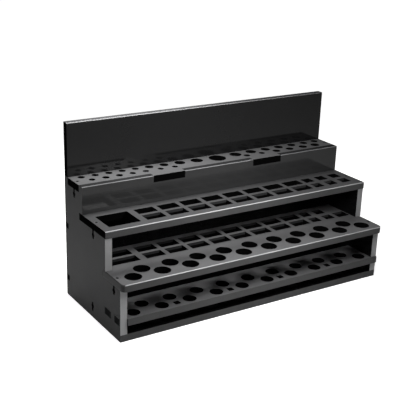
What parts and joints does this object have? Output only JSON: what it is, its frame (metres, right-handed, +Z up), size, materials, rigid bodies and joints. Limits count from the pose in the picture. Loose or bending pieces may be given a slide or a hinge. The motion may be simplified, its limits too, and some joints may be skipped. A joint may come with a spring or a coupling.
{
  "type": "desktop tool rack",
  "caption": "Stepped desktop rack of black faced boards, with rows of round and rectangular holes that hold hand tools, pens and brushes upright.",
  "frame": {"origin": "centre of the base plate's underside, on the surface the rack stands on", "axes": "+X to the rack's right as seen from the front, +Y from the front to the back panel, +Z up"},
  "size_m": [0.33, 0.1305, 0.192],
  "materials": {
    "upright_board": "black melamine-faced fibreboard, satin to gloss",
    "shelf_board": "black melamine-faced fibreboard, fine matte grain",
    "black_steel": "black oxide"
  },
  "bodies": {
    "root": {"base_plate": "upright_board", "left_side_panel": "upright_board", "right_side_panel": "upright_board", "back_panel": "upright_board", "riser_panel": "upright_board", "top_shelf": "shelf_board", "middle_shelf": "shelf_board", "lower_shelf": "shelf_board", "bottom_guide_shelf": "shelf_board", "top_shelf_screw_left": "black_steel", "top_shelf_nut_left": "black_steel", "middle_shelf_screw_left": "black_steel", "middle_shelf_nut_left": "black_steel", "lower_shelf_screw_left": "black_steel", "lower_shelf_nut_left": "black_steel", "base_screw_left": "black_steel", "base_nut_left": "black_steel", "top_shelf_screw_right": "black_steel", "top_shelf_nut_right": "black_steel", "middle_shelf_screw_right": "black_steel", "middle_shelf_nut_right": "black_steel", "lower_shelf_screw_right": "black_steel", "lower_shelf_nut_right": "black_steel", "base_screw_right": "black_steel", "base_nut_right": "black_steel"}
  },
  "joints": []
}
